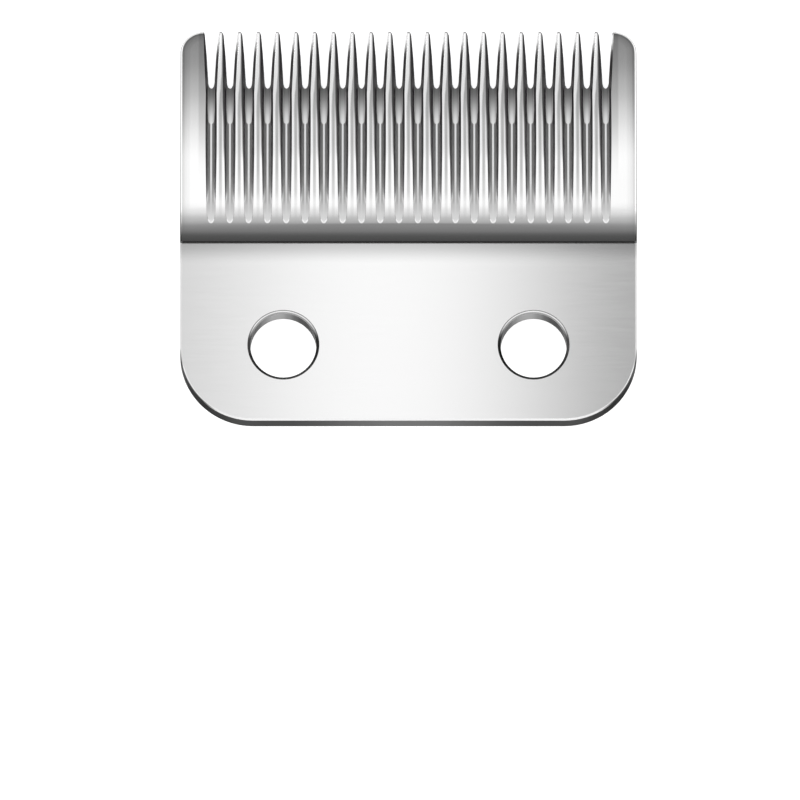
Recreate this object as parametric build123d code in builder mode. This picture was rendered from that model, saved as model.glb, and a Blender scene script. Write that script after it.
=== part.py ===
"""Fixed blade of a hair clipper: one ground and polished steel plate, in millimetres.

The blade lies on its flat inner face. +X runs along the row of teeth, +Y points to the tooth
tips and +Z is the outer face, which meets the skin. The origin is midway between the two screw
holes, on the inner face.
"""

import os
from math import cos, radians, sin, tan

from build123d import *

# Plan
blade_width = 46.4
hole_spacing = 25.4
hole_diameter = 6.7
heel_margin = 7.9  # hole line to the rear edge
step_offset = 10.7  # hole line to the step behind the shoulder
tip_reach = 33.38  # hole line to the tooth tips
heel_corner_radius = 7.4
rail_corner_radius = 2.4

# Side profile
heel_thickness = 2.5
step_riser = 0.3  # upright part of the step
shoulder_rise = 1.4  # height of the crest above the heel
shoulder_back_length = 3.8  # step to crest, along Y
crest_length = 2.5
tip_thickness = 0.8

# Hollow grind of the inner face, between the land behind the teeth and the heel
relief_start = 13.5
relief_length = 9.0
relief_depth = 0.2

# Teeth
tooth_pitch = 1.91
rail_width = 2.5  # solid end tooth on each side, at its tip
tip_roundness = 1.06  # width of the round tip against that of the tooth, over 1 to clear the flanks

# Long groove between two teeth
groove_half_angle = 9.5
groove_edge_radius = 0.45
groove_slope = 7.0
groove_depth = 0.55  # at the back of the crest

# Steeper slot that opens the gap between two tooth tips
gap_half_angle = 7.25
gap_edge_radius = 0.31
gap_slope = 27.6
gap_length = 5.78  # tips to the root of the gap, on the inner face

# Second pass on the same slope with a blunter wheel, which flares the mouth of the gap
mouth_half_angle = 10.8
mouth_length = 4.83

# Broken edges
hole_chamfer = 0.3
heel_chamfer = 0.18
rim_chamfer = 0.2
upright_limit = 0.01  # largest vertical part of the normal of an upright wall

# Places that follow from the sizes above
half_width = blade_width / 2
crest_height = heel_thickness + shoulder_rise
crest_back = step_offset + shoulder_back_length
crest_front = crest_back + crest_length
relief_end = relief_start + relief_length


def wheel_half_width(height, half_angle, edge_radius):
    """Half width of a grinding wheel at a height above the lowest point of its rounded edge."""
    buried_tip = edge_radius / sin(radians(half_angle)) - edge_radius
    return (height + buried_tip) * tan(radians(half_angle))


def wheel_pass(y, z, slope, half_angle, edge_radius, height):
    """Section of a grinding wheel, square to a pass through (y, z) that goes down to the tips."""
    along = (0, cos(radians(slope)), -sin(radians(slope)))
    half_top = wheel_half_width(height, half_angle, edge_radius)
    sharp_tip = height - half_top / tan(radians(half_angle))
    with BuildSketch(Plane(origin=(0, y, z), x_dir=(-1, 0, 0), z_dir=along)) as section:
        with BuildLine():
            Polyline((-half_top, height), (0, sharp_tip), (half_top, height), close=True)
        make_face()
        fillet(section.vertices().sort_by(Axis.Y)[0], edge_radius)
    return section.sketch


# The gaps are spread evenly between the two rails, and each tooth ends in a full round
mouth_height = mouth_length * sin(radians(gap_slope))
mouth_width = 2 * wheel_half_width(mouth_height, mouth_half_angle, gap_edge_radius)
mouth_taper = sin(radians(gap_slope)) * tan(radians(mouth_half_angle))
gap_count = round((blade_width - 2 * rail_width - mouth_width) / tooth_pitch) + 1
tip_radius = tip_roundness * (tooth_pitch - mouth_width) / 2 / (1 - mouth_taper)

# Shoulder that carries the teeth: its side profile, cut to the plan with rounded rail corners
with BuildPart() as shoulder:
    with BuildSketch(Plane.YZ) as profile:
        with BuildLine():
            Line((step_offset, 0), (relief_start, 0))
            ThreePointArc(
                (relief_start, 0),
                ((relief_start + relief_end) / 2, relief_depth),
                (relief_end, 0),
            )
            Polyline((relief_end, 0), (tip_reach, 0), (tip_reach, tip_thickness))
            TangentArc((crest_front, crest_height), (tip_reach, tip_thickness), tangent=(1, 0))
            Line((crest_front, crest_height), (crest_back, crest_height))
            TangentArc(
                (crest_back, crest_height),
                (step_offset, heel_thickness + step_riser),
                tangent=(-1, 0),
            )
            Line((step_offset, heel_thickness + step_riser), (step_offset, 0))
        make_face()
    extrude(amount=half_width, both=True)
    with BuildSketch() as plan:
        with Locations((0, (tip_reach + step_offset) / 2)):
            Rectangle(blade_width, tip_reach - step_offset)
        fillet(plan.vertices().group_by(Axis.Y)[-1], rail_corner_radius)
    extrude(amount=crest_height, mode=Mode.INTERSECT)
    # Top rim, from the step along one side, round the tips and back along the other side
    upright = shoulder.faces().filter_by(lambda face: abs(face.normal_at().Z) < upright_limit)
    rim_walls = upright.sort_by(Axis.Y)[1:]
    crown = shoulder.faces().filter_by(lambda face: face.normal_at().Z > upright_limit)
    rim = [edge for edge in rim_walls.edges() if edge in crown.edges()]
    chamfer(rim, rim_chamfer)

# Everything that is ground away between two teeth: one groove, then the gap in two passes
with BuildPart() as grinding:
    groove = (groove_slope, groove_half_angle, groove_edge_radius, crest_height)
    extrude(wheel_pass(crest_back, crest_height - groove_depth, *groove), amount=tip_reach, both=True)
    gap = (gap_slope, gap_half_angle, gap_edge_radius, gap_length)
    extrude(wheel_pass(tip_reach - gap_length, 0, *gap), amount=tip_reach, both=True)
    mouth = (gap_slope, mouth_half_angle, gap_edge_radius, gap_length)
    extrude(wheel_pass(tip_reach - mouth_length, 0, *mouth), amount=tip_reach, both=True)

with BuildPart() as blade:
    # Heel plate with rounded rear corners
    with BuildSketch() as heel_plan:
        with Locations((0, (step_offset - heel_margin) / 2)):
            Rectangle(blade_width, step_offset + heel_margin)
        fillet(heel_plan.vertices().group_by(Axis.Y)[0], heel_corner_radius)
    extrude(amount=heel_thickness)
    heel_top = blade.faces().sort_by(Axis.Z)[-1]
    chamfer(heel_top.edges().sort_by(Axis.Y)[:-1], heel_chamfer)

    # Screw holes, broken at the outer face
    with BuildSketch() as screw_holes:
        with GridLocations(hole_spacing, 0, 2, 1):
            Circle(hole_diameter / 2)
    extrude(amount=heel_thickness, mode=Mode.SUBTRACT)
    heel_top = blade.faces().sort_by(Axis.Z)[-1]
    hole_rims = [wire.edges() for wire in heel_top.inner_wires()]
    chamfer(hole_rims, hole_chamfer)

    add(shoulder.part)

    # Teeth, left standing between the ground gaps
    with GridLocations(tooth_pitch, 0, gap_count, 1):
        add(grinding.part, mode=Mode.SUBTRACT)

    # Tooth tips, rounded in plan
    with BuildSketch() as tip_cuts:
        with Locations((0, tip_reach - tip_radius / 2)):
            with GridLocations(tooth_pitch, 0, gap_count - 1, 1):
                Rectangle(tooth_pitch, tip_radius)
        with Locations((0, tip_reach - tip_radius)):
            with GridLocations(tooth_pitch, 0, gap_count - 1, 1):
                Circle(tip_radius, mode=Mode.SUBTRACT)
    extrude(amount=crest_height, mode=Mode.SUBTRACT)

blade.part.label = "fixed_blade"
os.makedirs("parts", exist_ok=True)
export_step(blade.part, "parts/fixed_blade.step")
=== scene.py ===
"""Studio picture of a hair clipper's fixed blade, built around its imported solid, in metres."""

import math
from types import SimpleNamespace

import bpy
from mathutils import Matrix, Vector


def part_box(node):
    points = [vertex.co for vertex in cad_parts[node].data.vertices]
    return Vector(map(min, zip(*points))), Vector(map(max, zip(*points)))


MM = 0.001

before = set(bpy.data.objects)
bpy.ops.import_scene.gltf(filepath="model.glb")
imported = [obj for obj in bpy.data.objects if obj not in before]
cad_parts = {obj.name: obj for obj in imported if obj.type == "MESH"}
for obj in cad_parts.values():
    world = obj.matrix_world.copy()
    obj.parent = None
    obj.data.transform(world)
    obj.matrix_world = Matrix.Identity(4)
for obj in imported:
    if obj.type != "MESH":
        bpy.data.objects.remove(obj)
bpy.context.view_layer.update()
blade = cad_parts["fixed_blade"]
blade_low, blade_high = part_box("fixed_blade")

# Places on the blade, as in the part's source
HALF_WIDTH = blade_high.x
TIP_LINE = blade_high.y
CREST_TOP = blade_high.z
HEEL_TOP = 2.5 * MM
STEP_LINE = 10.7 * MM  # foot of the step between heel and shoulder
STEP_TOP = 2.8 * MM
CREST_BACK = 14.5 * MM
CREST_FRONT = 17.0 * MM
TIP_TOP = 0.8 * MM
TOOTH_PITCH = 1.91 * MM
GAP_COUNT = 22
LAST_GAP = (GAP_COUNT - 1) / 2 * TOOTH_PITCH  # middle of the outermost gap, off the middle
RAIL_CORNER = 2.4 * MM
CORNER_START = TIP_LINE - RAIL_CORNER
HOLE_OFFSET = 12.7 * MM
HOLE_RIM = 3.65 * MM  # outer edge of the holes' chamfer

# Camera: far away with a long lens, leaning back from straight overhead to the heel side
PHOTO_SIZE = 800
PHOTO_SCALE = 9.854 / MM  # pixels for each metre on the blade
PHOTO_HOLES = (408.5, 344.75)  # pixel midway between the screw holes
CAMERA_TILT = math.radians(14.5)
CAMERA_LENS = 1500

# Light tent: a half barrel over the blade, with its axis along the row of teeth
TENT_RADIUS = 1.0
TENT_HALF_LENGTH = 0.6
TENT_STEPS = 48
# Brightness of the barrel by angle from straight overhead, in degrees towards the tooth tips
TENT_BANDS = [
    (-90, 1.3),
    (-73.5, 1.3),
    (-63.5, 0.02),
    (-49.5, 0.02),
    (-39.5, 0.09),
    (-24.5, 0.27),
    (-11.5, 0.56),
    (2.5, 0.92),
    (12.5, 1.20),
    (21.5, 1.22),
    (27.5, 1.04),
    (33.5, 0.81),
    (41.5, 0.53),
    (50.5, 0.33),
    (59.5, 0.22),
    (64.5, 0.5),
    (70.5, 1.2),
    (90, 1.2),
]
# Share of that brightness by place along the barrel, in the band that the heel reflects
HEEL_BAND = [(2.5, 0), (8.5, 1), (18.5, 1), (24.5, 0)]
HEEL_FADE = [
    (-0.6, 1.0),
    (-0.45, 0.5),
    (-0.3, 0.42),
    (-0.21, 0.62),
    (-0.14, 0.87),
    (-0.07, 1.0),
    (0.03, 1.0),
    (0.08, 0.88),
    (0.12, 0.74),
    (0.21, 0.31),
    (0.25, 0.17),
    (0.3, 0.14),
    (0.45, 0.5),
    (0.6, 1.0),
]
TENT_SIDE = 1.1  # brightness of the two end panels
TENT_SIDE_START = 0.25  # place along the barrel where its brightness starts to turn into that

# Floor: matt white, with a glow that brings it to pure white where it is seen or mirrored
FLOOR_WHITE = (0.85, 0.85, 0.85, 1)
FLOOR_GLOW = 0.86
FLOOR_HALF = 4.0
FLOOR_GAP = 0.02 * MM

# Steel: reflectance, as (place or slope, share) stops where it changes over the surface; most of these
# stops are painted light and shade
POLISHED = 0.86
BRUSHED = 0.86
HOLE_EDGE = 0.06  # near side of the holes' chamfer, painted dark as shade
FOOT_SHADE = 0.17  # painted shade in the corner at the foot of the step
# Flanks of the grooves by Y, from the grooves' ends to the tips, with painted shade that darkens them
# towards the tips
FLANK = [
    (15 * MM, 0.62),
    (16 * MM, 0.58),
    (17 * MM, 0.48),
    (18 * MM, 0.42),
    (24 * MM, 0.40),
    (27.5 * MM, 0.3),
    (29 * MM, 0.06),
    (34 * MM, 0.04),
]
# Painted highlight that the flanks facing left gain towards the tips
LEFT_FLANK = [(30 * MM, 0), (31 * MM, 0.16), (31.8 * MM, 0.45), (32.4 * MM, 0.72), (33 * MM, 0.75)]
# Painted light and shade on the rounded ends of the grooves, and a painted highlight line along their
# floors
GROOVE_END = [
    (12.5 * MM, 0.88),
    (13.1 * MM, 0.76),
    (14.3 * MM, 0.63),
    (15.1 * MM, 0.5),
    (16 * MM, 0.46),
]
GROOVE_LINE = [
    (12.5 * MM, 0.88),
    (13.1 * MM, 0.76),
    (14.3 * MM, 0.7),
    (15.5 * MM, 0.75),
    (17.6 * MM, 0.95),
]
# Painted light and shade on the ramp at the root of each gap, by depth below the outer face
RAMP = [(1.2 * MM, 0.75), (2.6 * MM, 0.15)]
# Painted shade along the middle of each tooth, by Y
RIDGE = [
    (12.5 * MM, 1.0),
    (14.5 * MM, 0.86),
    (16 * MM, 0.66),
    (18.5 * MM, 0.52),
    (21 * MM, 0.50),
    (23.5 * MM, 0.62),
    (25.5 * MM, 0.82),
    (28 * MM, 1.0),
]
# Painted shade on the outer face of the teeth by Y, and the painted shade on its right edge: its
# strength, where it starts off the middle of the tooth, and how wide it fades in
TOOTH_FACE = [(23 * MM, 1.0), (25.5 * MM, 0.84), (28 * MM, 0.82), (30.5 * MM, 0.86), (32 * MM, 0.92)]
RIGHT_SHADE = [(18 * MM, 0), (21 * MM, 0.7), (24.5 * MM, 0.92), (33 * MM, 0.92)]
RIGHT_START = [
    (18 * MM, 0.3 * MM),
    (22 * MM, 0.23 * MM),
    (26 * MM, 0.16 * MM),
    (28.5 * MM, 0.15 * MM),
    (30.5 * MM, 0.15 * MM),
    (32 * MM, 0.09 * MM),
]
RIGHT_WIDTH = 0.1 * MM
# Rails, by distance inwards from the rim: a painted dark outer line, a painted highlight on the chamfer
# and a painted shade along the edge
RIM = [
    (0, 0.3),
    (0.06 * MM, 0.3),
    (0.09 * MM, 1.6),
    (0.16 * MM, 1.6),
    (0.19 * MM, 0.8),
    (0.22 * MM, 0.62),
    (0.36 * MM, 0.58),
    (0.5 * MM, 0.77),
    (0.8 * MM, 0.88),
    (1.15 * MM, 1.0),
]
# Strength of that painted shade by Y
RIM_SHADE = [
    (11 * MM, 0.1),
    (13 * MM, 0.3),
    (15 * MM, 0.55),
    (19 * MM, 0.6),
    (23 * MM, 0.85),
    (25 * MM, 1.0),
]
# Painted light and shade on the chamfer of the rails by Y, from the step to the tips
RIM_LIGHT = [
    (10.7 * MM, 0.012),
    (11.1 * MM, 0.03),
    (12 * MM, 0.16),
    (12.9 * MM, 0.42),
    (14 * MM, 0.72),
    (19 * MM, 0.72),
    (21.2 * MM, 0.68),
    (23.4 * MM, 0.65),
    (27.8 * MM, 0.58),
    (33 * MM, 0.56),
]
# Painted shade on the chamfer along the sides of the heel and round its corners, by how far it faces the
# rear
SIDE_CHAMFER = [(0.02, 0.6), (0.06, 0.5), (0.12, 0.5), (0.2, 0.85)]
# Painted shade and light on the heel's outer wall and the holes' walls, by how far they face the rear
HEEL_WALL = [(0.05, 0.4), (0.14, 0.1), (0.3, 0.03), (0.6, 0.03), (0.9, 0.06), (1, 0.09)]
HOLE_WALL = [
    (-0.3, 0.4),
    (0, 0.03),
    (0.5, 0.06),
    (0.7, 0.11),
    (0.83, 0.21),
    (0.93, 0.39),
    (1, 0.56),
]
# What is left at grazing angles, kept low on the walls as painted shade: on the heel's wall by how far
# it faces the rear, and elsewhere
WALL_TINT = [(0.05, 0.45), (0.2, 0.05), (0.5, 0.07), (0.7, 0.22), (0.9, 0.34), (1, 0.38)]
HOLE_TINT = 0.38
FACE_TINT = 0.45
GROOVE_TINT = 0.1
HOLE_LIGHT = math.radians(13)  # turn of the painted light on the holes' walls, off the rear
# Painted light and dark lines on the far side of the holes' chamfer, by distance from the hole's axis
HOLE_LINES = [
    (3.35 * MM, 0.36),
    (3.46 * MM, 0.36),
    (3.50 * MM, 0.85),
    (3.56 * MM, 0.85),
    (3.60 * MM, 0.24),
    (3.65 * MM, 0.24),
]

# Soft crowning of the surface: lean of the normal for each metre off the middle of the heel, and
# off the middle of a tooth by Y, with the steady lean of the slim tips
HEEL_CROWN = math.tan(math.radians(6)) / HALF_WIDTH
TOOTH_CROWN = [(18.5 * MM, 0), (22 * MM, 1000), (24 * MM, 1100), (28 * MM, 1600), (33 * MM, 3000)]
TIP_LEAN = [(24 * MM, 0), (26 * MM, 0.1), (27 * MM, 0.22), (29 * MM, 0.42), (33 * MM, 0.75)]
CORNER_LEAN = 0.7  # outward lean of the rim's chamfer round the rails' front corners

# Finish: waves of the marks for each metre along X, Y and Z, their shades and the roughness
BRUSH_WAVES = (250, 4500, 250)
GRIND_WAVES = (9000, 300, 9000)
BRUSH_SHADE = (0.992, 1.008)
GRIND_SHADE = (0.9, 1.1)
BRUSHED_ROUGHNESS = (0.195, 0.205)
POLISHED_ROUGHNESS = 0.15
DULL_ROUGHNESS = 0.3

# Soft steps: where each starts and ends, with the levels before and after it if not 0 and 1
MARKS = (0.3, 0.7)  # noise, from the dark marks to the light ones
FACING_UP = (0.3, 0.8)  # upward part of the normal, from walls to faces
FACING_SIDE = (0.3, 0.5)  # sideways part of the normal, on the heel's side chamfers
FACING_LEFT = (-0.6, -0.2, 1.0, 0.0)  # and its part along X, on the flanks that face left
STEP_SHADE = (STEP_LINE - 2.3 * MM, STEP_LINE, 1.0, 0.62)  # heel by Y, painted shade darker near the step
FOOT_LIGHT = (STEP_LINE - 0.12 * MM, STEP_LINE - 0.04 * MM, 1.0, 1.45)  # and a painted highlight line at its foot
CHAMFER_LINE = (HEEL_TOP - 0.1 * MM, HEEL_TOP - 0.07 * MM, 0.1, 1.0)  # painted dark outer line of the side chamfer, by Z
CHAMFER_CORNER = (0.0, 0.08)  # start of that painted line, by how far the chamfer faces the rear
REAR_LIGHT = (1 * MM, 13 * MM, 2.5, 1.0)  # painted highlight on the heel's wall, by distance from the middle
RIDGE_SHADE_SPAN = (0.06 * MM, 0.24 * MM, 1.0, 0.0)  # distance off the middle of the tooth, for the painted shade along it
ON_RIM = (0.19 * MM, 0.21 * MM, 1.0, 0.0)  # distance inwards from the rails' outline
ON_CORNER = (CORNER_START - 0.3 * MM, CORNER_START + 0.3 * MM)  # rails by Y
CORNER_RIM = (0.05 * MM, 0.09 * MM, 0.15, 1.75)  # painted highlight on the rim round the front corners, by inset
INNER_EDGE = (21.2 * MM, 21.45 * MM, 0.78, 1.0)  # painted shade on the rails along the outermost gap, by side
INNER_EDGE_START = (16 * MM, 24 * MM)  # start of that painted shade, by Y
HOLE_FAR_SIDE = (0.1, 0.45)  # by how far the chamfer faces the rear
GROOVE_DEPTH = (0.04 * MM, 0.12 * MM)  # depth below the outer face
GROOVE_ENDS = (14.2 * MM, 16.2 * MM, 1.0, 0.0)  # grooves by Y, from their round ends on
GAP_SLOPE = (0.25, 0.4)  # steepness towards the tips, from groove floor to ramp
FLOOR_LINE = (0.1, 0.3, 1.0, 0.0)  # sideways part of the normal on the groove's floor, where the painted highlight line lies
FLANK_LIGHT = (0.5, 0.98, 0.6, 1.7)  # and on its flanks, painted brighter where they stand upright
RAMP_WIDTH = (0.34 * MM, 0.46 * MM, 1.0, 0.0)  # distance off the middle of the gap
RAMP_LIGHT = (0.05 * MM, 0.37 * MM, 1.2, 0.6)  # the same distance, with a painted highlight in the middle
FOOT_SHADE_START = (-0.005 * MM, 0.0)  # distance ahead of the step, for the painted shade at its foot
FOOT_SHADE_END = (0.02 * MM, 0.1 * MM, 1.0, 0.0)
FOOT_SHADE_SIDES = (0.75, 0.9, 1.0, 0.0)  # sideways part of the normal, to spare the side walls
LEAST_UP = 0.05  # least upward part of the normal that steepness is taken by


class Nodes:
    """A node tree that is filled by short calls, each giving back an output socket."""

    def __init__(self, tree):
        self.tree = tree
        tree.nodes.clear()

    def add(self, kind, inputs=None, **settings):
        node = self.tree.nodes.new(kind)
        for name, value in settings.items():
            setattr(node, name, value)
        for socket, value in (inputs or {}).items():
            if isinstance(value, bpy.types.NodeSocket):
                self.tree.links.new(value, node.inputs[socket])
            else:
                node.inputs[socket].default_value = value
        return node

    def math(self, operation, *values):
        inputs = dict(enumerate(values))
        return self.add("ShaderNodeMath", inputs, operation=operation).outputs[0]

    def vector(self, operation, *values):
        inputs = dict(enumerate(values))
        return self.add("ShaderNodeVectorMath", inputs, operation=operation).outputs[0]

    def smooth(self, value, start, end, low=0.0, high=1.0):
        inputs = {"Value": value, "From Min": start, "From Max": end, "To Min": low, "To Max": high}
        node = self.add("ShaderNodeMapRange", inputs, interpolation_type="SMOOTHSTEP")
        return node.outputs["Result"]

    def mix(self, factor, first, second):
        inputs = {"Factor": factor, "A": first, "B": second}
        return self.add("ShaderNodeMix", inputs, data_type="FLOAT").outputs["Result"]

    def curve(self, value, stops):
        """Value looked up between (place, level) stops, with smooth joins."""
        first, last = stops[0][0], stops[-1][0]
        peak = max(level for place, level in stops)
        inputs = {"Value": value, "From Min": first, "From Max": last}
        place = self.add("ShaderNodeMapRange", inputs).outputs["Result"]
        ramp = self.add("ShaderNodeValToRGB", {"Fac": place})
        ramp.color_ramp.interpolation = "EASE"
        elements = ramp.color_ramp.elements
        while len(elements) < len(stops):
            elements.new(0.5)
        for element, (stop, level) in zip(elements, stops):
            element.position = (stop - first) / (last - first)
            element.color = (level / peak, level / peak, level / peak, 1)
        return self.math("MULTIPLY", ramp.outputs["Color"], peak)

    def product(self, *values):
        result = values[0]
        for value in values[1:]:
            result = self.math("MULTIPLY", result, value)
        return result

    def length(self, first, second):
        squares = self.math("MULTIPLY", first, first), self.math("MULTIPLY", second, second)
        return self.math("SQRT", self.math("ADD", *squares))

    def noise(self, vector, stretch, detail=3.0):
        """Noise with so many waves to the metre along each axis."""
        place = self.vector("MULTIPLY", vector, stretch)
        inputs = {"Vector": place, "Scale": 1.0, "Detail": detail, "Roughness": 0.6}
        return self.add("ShaderNodeTexNoise", inputs).outputs["Fac"]

    def grey(self, value):
        inputs = {"Red": value, "Green": value, "Blue": value}
        return self.add("ShaderNodeCombineColor", inputs).outputs["Color"]


def new_material(name):
    material = bpy.data.materials.new(name)
    material.use_nodes = True
    return material, Nodes(material.node_tree)


def make_object(name, vertices, faces, material):
    mesh = bpy.data.meshes.new(name)
    mesh.from_pydata(vertices, [], faces)
    mesh.materials.append(material)
    thing = bpy.data.objects.new(name, mesh)
    bpy.context.collection.objects.link(thing)
    return thing


def make_camera():
    data = bpy.data.cameras.new("camera")
    data.lens = CAMERA_LENS
    distance = PHOTO_SIZE / PHOTO_SCALE * data.lens / data.sensor_width
    back = Vector((0, -math.sin(CAMERA_TILT), math.cos(CAMERA_TILT)))
    right = Vector((1, 0, 0))
    up = back.cross(right)
    centre = PHOTO_SIZE / 2
    target = Vector((0, 0, HEEL_TOP))
    target += right * (centre - PHOTO_HOLES[0]) / PHOTO_SCALE
    target += up * (PHOTO_HOLES[1] - centre) / PHOTO_SCALE
    turn = Matrix((right, up, back)).transposed().to_4x4()
    camera = bpy.data.objects.new("camera", data)
    camera.matrix_world = Matrix.Translation(target + back * distance) @ turn
    data.clip_end = 2 * distance
    bpy.context.collection.objects.link(camera)
    bpy.context.scene.camera = camera


def arc_drop(nodes, start, distance, rise):
    """Drop of an arc that leaves the crest level at start and falls by rise over distance."""
    radius = (distance**2 + rise**2) / (2 * rise)
    run = nodes.math("MAXIMUM", start, 0.0)
    square = nodes.math("SUBTRACT", radius**2, nodes.math("MULTIPLY", run, run))
    return nodes.math("SUBTRACT", radius, nodes.math("SQRT", nodes.math("MAXIMUM", square, 0.0)))


def depth_below_face(nodes, y, z):
    """Depth below the outer face of the shoulder, which tells a groove from the polished face."""
    ahead = nodes.math("SUBTRACT", y, CREST_FRONT)
    back = nodes.math("SUBTRACT", CREST_BACK, y)
    front_drop = arc_drop(nodes, ahead, TIP_LINE - CREST_FRONT, CREST_TOP - TIP_TOP)
    back_drop = arc_drop(nodes, back, CREST_BACK - STEP_LINE, CREST_TOP - STEP_TOP)
    face = nodes.math("SUBTRACT", CREST_TOP, nodes.math("ADD", front_drop, back_drop))
    return nodes.math("SUBTRACT", face, z)


def rim_distance(nodes, side, y):
    """Distance inwards from the shoulder's outline, round its front corners."""
    across = nodes.math("SUBTRACT", side, HALF_WIDTH - RAIL_CORNER)
    along = nodes.math("SUBTRACT", y, CORNER_START)
    outside = nodes.length(nodes.math("MAXIMUM", across, 0.0), nodes.math("MAXIMUM", along, 0.0))
    inside = nodes.math("MINIMUM", nodes.math("MAXIMUM", across, along), 0.0)
    return nodes.math("SUBTRACT", RAIL_CORNER, nodes.math("ADD", outside, inside))


def read_surface(nodes):
    """Place and slope of the shaded point, and which region of the blade it is in."""
    at = SimpleNamespace()
    at.place = nodes.add("ShaderNodeTexCoord").outputs["Object"]
    at.x, at.y, at.z = nodes.add("ShaderNodeSeparateXYZ", {"Vector": at.place}).outputs
    normal = nodes.add("ShaderNodeNewGeometry").outputs["Normal"]
    facing = nodes.add("ShaderNodeSeparateXYZ", {"Vector": normal}).outputs
    at.facing_x, at.facing_y, at.facing_z = facing
    at.side = nodes.math("ABSOLUTE", at.x)
    at.facing_side = nodes.math("ABSOLUTE", at.facing_x)
    at.facing_rear = nodes.math("MULTIPLY", at.facing_y, -1.0)
    at.up = nodes.smooth(at.facing_z, *FACING_UP)

    at.on_heel = nodes.math("LESS_THAN", at.y, STEP_LINE)
    at.on_shoulder = nodes.math("GREATER_THAN", at.y, STEP_LINE)
    at.among_teeth = nodes.product(at.on_shoulder, nodes.math("LESS_THAN", at.side, LAST_GAP))
    at.on_rail = nodes.math("SUBTRACT", at.on_shoulder, at.among_teeth)
    at.inset = rim_distance(nodes, at.side, at.y)
    at.on_rim = nodes.product(at.on_rail, nodes.smooth(at.inset, *ON_RIM))
    at.on_corner = nodes.product(at.on_rim, nodes.smooth(at.y, *ON_CORNER))
    at.hole_distance = nodes.length(nodes.math("SUBTRACT", at.side, HOLE_OFFSET), at.y)
    at.in_hole = nodes.math("LESS_THAN", at.hole_distance, HOLE_RIM)

    tooth_number = nodes.math("ROUND", nodes.math("DIVIDE", at.x, TOOTH_PITCH))
    tooth_middle = nodes.math("MULTIPLY", tooth_number, TOOTH_PITCH)
    at.off_tooth = nodes.math("SUBTRACT", at.x, tooth_middle)
    at.brushing = nodes.noise(at.place, BRUSH_WAVES)
    at.grinding = nodes.noise(at.place, GRIND_WAVES)
    return at


def read_grooves(nodes, at):
    """Where the point is in a groove or gap, added to what is known of it."""
    at.depth = depth_below_face(nodes, at.y, at.z)
    off_middle = nodes.math("ABSOLUTE", at.off_tooth)
    at.off_gap = nodes.math("SUBTRACT", TOOTH_PITCH / 2, off_middle)
    near_gap = nodes.math("LESS_THAN", at.side, LAST_GAP + TOOTH_PITCH / 2)
    at.near_gap = nodes.product(at.on_shoulder, near_gap, nodes.math("SUBTRACT", 1.0, at.on_rim))
    at.in_groove = nodes.product(at.near_gap, nodes.smooth(at.depth, *GROOVE_DEPTH))
    level = nodes.math("MAXIMUM", at.facing_z, LEAST_UP)
    at.in_gap = nodes.smooth(nodes.math("DIVIDE", at.facing_y, level), *GAP_SLOPE)
    at.on_ramp = nodes.smooth(at.off_gap, *RAMP_WIDTH)
    at.at_end = nodes.smooth(at.y, *GROOVE_ENDS)
    facing_left = nodes.smooth(at.facing_x, *FACING_LEFT)
    at.tip_light = nodes.product(facing_left, nodes.curve(at.y, LEFT_FLANK))


def heel_face(nodes, at):
    """Brushed heel, with painted shade towards the step, a painted highlight at its foot and a painted
    dark line round the corners.
    """
    brush_shade = nodes.smooth(at.brushing, *MARKS, *BRUSH_SHADE)
    step_shade = nodes.smooth(at.y, *STEP_SHADE)
    foot_light = nodes.smooth(at.y, *FOOT_LIGHT)
    line_strength = nodes.smooth(at.facing_rear, *CHAMFER_CORNER)
    outer_line = nodes.mix(line_strength, 1.0, nodes.smooth(at.z, *CHAMFER_LINE))
    side_shade = nodes.product(outer_line, nodes.curve(at.facing_rear, SIDE_CHAMFER))
    on_side = nodes.smooth(at.facing_side, *FACING_SIDE)
    chamfer_shade = nodes.mix(on_side, 1.0, side_shade)
    return nodes.product(brush_shade, step_shade, foot_light, chamfer_shade, BRUSHED)


def heel_wall(nodes, at):
    # Painted shade on the heel's outer wall, with a painted highlight towards its middle
    return nodes.product(nodes.curve(at.facing_rear, HEEL_WALL), nodes.smooth(at.side, *REAR_LIGHT))


def hole_face(nodes, at):
    """Painted dark chamfer of the holes, with two fine painted lines of light and shade at its far side.
    """
    far_side = nodes.smooth(at.facing_rear, *HOLE_FAR_SIDE)
    return nodes.mix(far_side, HOLE_EDGE, nodes.curve(at.hole_distance, HOLE_LINES))


def hole_wall(nodes, at):
    """Walls of the holes in painted shade, with painted light at their far side."""
    along = nodes.math("MULTIPLY", at.facing_rear, math.cos(HOLE_LIGHT))
    across = nodes.math("MULTIPLY", at.facing_x, math.sin(HOLE_LIGHT))
    return nodes.curve(nodes.math("ADD", along, across), HOLE_WALL)


def tooth_shade(nodes, at):
    """Painted shade along the middle of each tooth, and a painted shade on its right edge."""
    ridge_shade = nodes.smooth(nodes.math("ABSOLUTE", at.off_tooth), *RIDGE_SHADE_SPAN)
    ridge_shade = nodes.product(ridge_shade, at.among_teeth)
    ridge = nodes.mix(ridge_shade, 1.0, nodes.curve(at.y, RIDGE))
    start = nodes.curve(at.y, RIGHT_START)
    right_edge = nodes.smooth(at.off_tooth, start, nodes.math("ADD", start, RIGHT_WIDTH))
    right_edge = nodes.product(right_edge, nodes.curve(at.y, RIGHT_SHADE))
    rest = nodes.math("SUBTRACT", 1.0, right_edge)
    shade = nodes.product(ridge, nodes.curve(at.y, TOOTH_FACE), rest)
    return nodes.mix(at.among_teeth, 1.0, shade)


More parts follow.
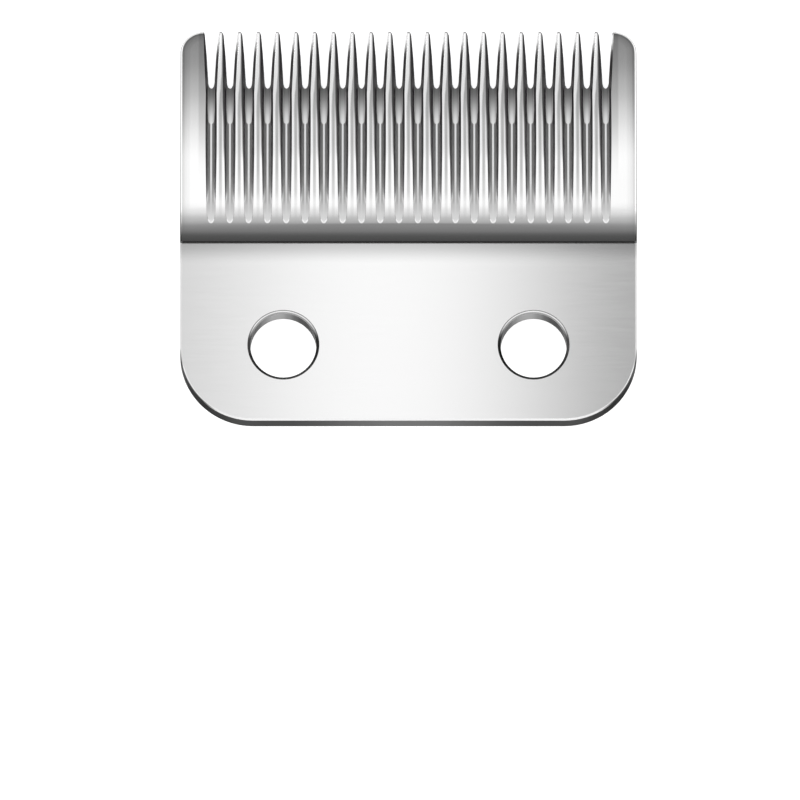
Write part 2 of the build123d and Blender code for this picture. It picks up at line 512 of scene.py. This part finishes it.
def rail_shade(nodes, at):
    """Rails with a painted highlight on the chamfer between two painted dark lines, and a painted shade
    along the outermost gap.
    """
    strength = nodes.math("MAXIMUM", at.on_rim, nodes.curve(at.y, RIM_SHADE))
    rim = nodes.mix(strength, 1.0, nodes.curve(at.inset, RIM))
    rim = nodes.mix(at.on_corner, rim, nodes.smooth(at.inset, *CORNER_RIM))
    light = nodes.mix(at.on_rim, 1.0, nodes.curve(at.y, RIM_LIGHT))
    inner_strength = nodes.smooth(at.y, *INNER_EDGE_START)
    inner = nodes.mix(inner_strength, 1.0, nodes.smooth(at.side, *INNER_EDGE))
    return nodes.mix(at.on_rail, 1.0, nodes.product(rim, light, inner))


def groove_base(nodes, at):
    """Dull flanks with painted shade, a painted highlight line along the floor and a painted bright ramp
    at the root of each gap.
    """
    grind_shade = nodes.smooth(at.grinding, *MARKS, *GRIND_SHADE)
    flank_light = nodes.smooth(at.facing_side, *FLANK_LIGHT)
    flank = nodes.product(nodes.curve(at.y, FLANK), grind_shade, flank_light)
    flank = nodes.math("ADD", flank, at.tip_light)
    groove = nodes.mix(at.at_end, flank, nodes.curve(at.y, GROOVE_END))
    on_line = nodes.smooth(at.facing_side, *FLOOR_LINE)
    groove = nodes.mix(on_line, groove, nodes.curve(at.y, GROOVE_LINE))
    ramp_light = nodes.smooth(at.off_gap, *RAMP_LIGHT)
    ramp = nodes.product(nodes.curve(at.depth, RAMP), ramp_light)
    gap = nodes.mix(at.on_ramp, flank, ramp)
    return nodes.mix(at.in_gap, groove, gap)


def steel_base(nodes, at):
    """Reflectance with painted light and shade: grooves, faces and walls, with a painted shade at the
    foot of the step.
    """
    ground = groove_base(nodes, at)
    wall = nodes.mix(at.in_hole, heel_wall(nodes, at), hole_wall(nodes, at))
    wall = nodes.mix(at.near_gap, wall, ground)
    shoulder_face = nodes.product(tooth_shade(nodes, at), rail_shade(nodes, at), POLISHED)
    plate_face = nodes.mix(at.in_hole, heel_face(nodes, at), hole_face(nodes, at))
    face = nodes.mix(at.on_heel, shoulder_face, plate_face)
    base = nodes.mix(at.in_groove, nodes.mix(at.up, wall, face), ground)
    foot = nodes.math("SUBTRACT", at.y, STEP_LINE)
    foot_shade = nodes.product(
        nodes.smooth(foot, *FOOT_SHADE_START),
        nodes.smooth(foot, *FOOT_SHADE_END),
        nodes.smooth(at.facing_side, *FOOT_SHADE_SIDES),
    )
    return nodes.mix(foot_shade, base, FOOT_SHADE)


def steel_roughness(nodes, at):
    brushed = nodes.smooth(at.brushing, *MARKS, *BRUSHED_ROUGHNESS)
    face = nodes.mix(at.on_heel, POLISHED_ROUGHNESS, brushed)
    return nodes.mix(at.in_groove, nodes.mix(at.up, DULL_ROUGHNESS, face), DULL_ROUGHNESS)


def steel_normal(nodes, at):
    """Crowned heel and teeth, with ramps and groove ends shaded as if flat from side to side."""
    heel_lean = nodes.product(at.x, at.on_heel, at.up, HEEL_CROWN)
    on_tooth = nodes.product(at.among_teeth, nodes.math("SUBTRACT", 1.0, at.in_groove), at.up)
    tooth_lean = nodes.math("MULTIPLY", at.off_tooth, nodes.curve(at.y, TOOTH_CROWN))
    tooth_lean = nodes.math("SUBTRACT", tooth_lean, nodes.curve(at.y, TIP_LEAN))
    lean = nodes.math("ADD", heel_lean, nodes.product(tooth_lean, on_tooth))
    flatness = nodes.product(at.in_groove, nodes.mix(at.in_gap, at.at_end, at.on_ramp))
    kept = nodes.math("MULTIPLY", at.facing_x, nodes.math("SUBTRACT", 1.0, flatness))
    outwards = nodes.math("MULTIPLY", nodes.math("SIGN", at.x), CORNER_LEAN)
    turned = {
        "X": nodes.mix(at.on_corner, nodes.math("ADD", kept, lean), outwards),
        "Y": nodes.mix(at.on_corner, at.facing_y, 0.0),
        "Z": at.facing_z,
    }
    vector = nodes.add("ShaderNodeCombineXYZ", turned).outputs["Vector"]
    return nodes.vector("NORMALIZE", vector)


def steel_tint(nodes, at):
    """Reflectance that is left at grazing angles, kept low as painted shade on the walls and raised as
    painted light on the flanks that face left at the tips.
    """
    wall = nodes.mix(at.in_hole, nodes.curve(at.facing_rear, WALL_TINT), HOLE_TINT)
    groove = nodes.math("MAXIMUM", at.tip_light, GROOVE_TINT)
    return nodes.mix(at.in_groove, nodes.mix(at.up, wall, FACE_TINT), groove)


def steel_material():
    """Polished shoulder, brushed heel and dull ground flanks, told apart by place and slope, with light
    and shade painted into the reflectance.
    """
    material, nodes = new_material("blade_steel")
    at = read_surface(nodes)
    read_grooves(nodes, at)
    inputs = {
        "Base Color": nodes.grey(steel_base(nodes, at)),
        "Metallic": 1.0,
        "Roughness": steel_roughness(nodes, at),
        "Normal": steel_normal(nodes, at),
        "Specular Tint": nodes.grey(steel_tint(nodes, at)),
    }
    shader = nodes.add("ShaderNodeBsdfPrincipled", inputs).outputs["BSDF"]
    nodes.add("ShaderNodeOutputMaterial", {"Surface": shader})
    return material


def make_tent():
    """Half barrel and two end panels that the polished steel reflects; the camera sees past them."""
    material, nodes = new_material("tent_cloth")
    place = nodes.add("ShaderNodeTexCoord").outputs["Object"]
    axes = nodes.add("ShaderNodeSeparateXYZ", {"Vector": place}).outputs
    angle = nodes.math("DEGREES", nodes.math("ARCTAN2", axes["Y"], axes["Z"]))
    fade = nodes.mix(nodes.curve(angle, HEEL_BAND), 1.0, nodes.curve(axes["X"], HEEL_FADE))
    level = nodes.math("MULTIPLY", nodes.curve(angle, TENT_BANDS), fade)
    aside = nodes.math("ABSOLUTE", axes["X"])
    level = nodes.mix(nodes.smooth(aside, TENT_SIDE_START, TENT_HALF_LENGTH), level, TENT_SIDE)
    shader = nodes.add("ShaderNodeEmission", {"Strength": level}).outputs["Emission"]
    nodes.add("ShaderNodeOutputMaterial", {"Surface": shader})

    side_material, nodes = new_material("tent_side")
    shader = nodes.add("ShaderNodeEmission", {"Strength": TENT_SIDE}).outputs["Emission"]
    nodes.add("ShaderNodeOutputMaterial", {"Surface": shader})

    arc = []
    for step in range(TENT_STEPS + 1):
        angle = math.pi * (step / TENT_STEPS - 0.5)
        arc.append((TENT_RADIUS * math.sin(angle), TENT_RADIUS * math.cos(angle)))
    rows = len(arc)
    ends = [[(x, y, z) for y, z in arc] for x in (-TENT_HALF_LENGTH, TENT_HALF_LENGTH)]
    barrel = [(i, i + 1, rows + i + 1, rows + i) for i in range(TENT_STEPS)]
    tent = [make_object("tent", ends[0] + ends[1], barrel, material)]
    for name, end in zip(("tent_left", "tent_right"), ends):
        tent.append(make_object(name, end, [tuple(range(rows))], side_material))
    for cloth in tent:
        cloth.visible_camera = False


def make_floor():
    material, nodes = new_material("floor_white")
    matt = nodes.add("ShaderNodeBsdfDiffuse", {"Color": FLOOR_WHITE}).outputs["BSDF"]
    path = nodes.add("ShaderNodeLightPath").outputs
    seen = nodes.math("ADD", path["Is Camera Ray"], path["Is Glossy Ray"])
    seen = nodes.math("ADD", seen, path["Is Transmission Ray"])
    glow = nodes.add("ShaderNodeEmission", {"Strength": nodes.math("MULTIPLY", seen, FLOOR_GLOW)})
    both = nodes.add("ShaderNodeAddShader", {0: matt, 1: glow.outputs["Emission"]})
    nodes.add("ShaderNodeOutputMaterial", {"Surface": both.outputs["Shader"]})
    level = blade_low.z - FLOOR_GAP
    quarters = ((-1, -1), (1, -1), (1, 1), (-1, 1))
    corners = [(x * FLOOR_HALF, y * FLOOR_HALF, level) for x, y in quarters]
    make_object("floor", corners, [(0, 1, 2, 3)], material)


def make_world():
    world = bpy.data.worlds.new("world")
    bpy.context.scene.world = world
    world.use_nodes = True
    nodes = Nodes(world.node_tree)
    white = nodes.add("ShaderNodeBackground", {"Color": (1, 1, 1, 1), "Strength": 1.0})
    nodes.add("ShaderNodeOutputWorld", {"Surface": white.outputs["Background"]})


make_camera()
make_world()
make_floor()
make_tent()
steel = steel_material()
for slot in blade.material_slots:
    slot.material = steel

bpy.context.scene.view_settings.view_transform = "Standard"
